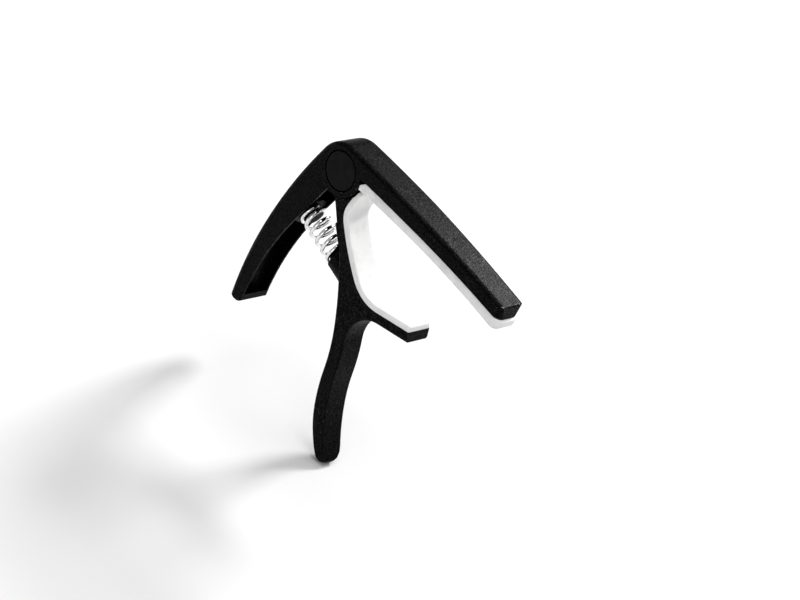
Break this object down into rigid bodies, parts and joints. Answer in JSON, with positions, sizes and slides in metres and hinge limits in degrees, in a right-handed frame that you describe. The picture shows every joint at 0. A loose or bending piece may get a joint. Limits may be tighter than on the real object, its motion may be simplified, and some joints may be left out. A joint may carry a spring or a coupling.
{
  "type": "guitar capo",
  "caption": "Spring-loaded guitar capo: a string bar with a palm handle, hinged to a trigger lever with a curved neck jaw, both lined with pale silicone.",
  "frame": {"origin": "middle of the string pad's contact face, on the centre line of the neck", "axes": "+X along the string bar to its free tip, +Y along the hinge pin, +Z from the strings to the bar"},
  "size_m": [0.0887, 0.0118, 0.0922],
  "materials": {
    "black_powder_coat": "fine-grained satin powder coat over a zinc die casting",
    "pale_silicone": "matte translucent silicone",
    "chrome_wire": "bright plated spring wire",
    "steel": "turned",
    "brass": "reamed",
    "black_plastic": "smooth satin"
  },
  "bodies": {
    "clamp": {"clamp_frame": "black_powder_coat", "string_pad": "pale_silicone", "pivot_barrel": "steel", "pivot_screw": "steel", "thrust_washer_near": "black_plastic", "thrust_washer_far": "black_plastic", "pivot_cap_near": "black_plastic", "pivot_cap_far": "black_plastic", "coil_spring": "chrome_wire"},
    "lever": {"trigger_lever": "black_powder_coat", "neck_pad": "pale_silicone", "hub_bush": "brass"}
  },
  "joints": [
    {"name": "lever_pivot", "type": "hinge", "parent": "clamp", "child": "lever", "pos_m": [-0.0395, 0, -0.0008], "axis": [0, 1, 0], "range_deg": [-5, 20], "stiffness_Nm_per_rad": 1.3, "deforming": ["coil_spring"]}
  ]
}
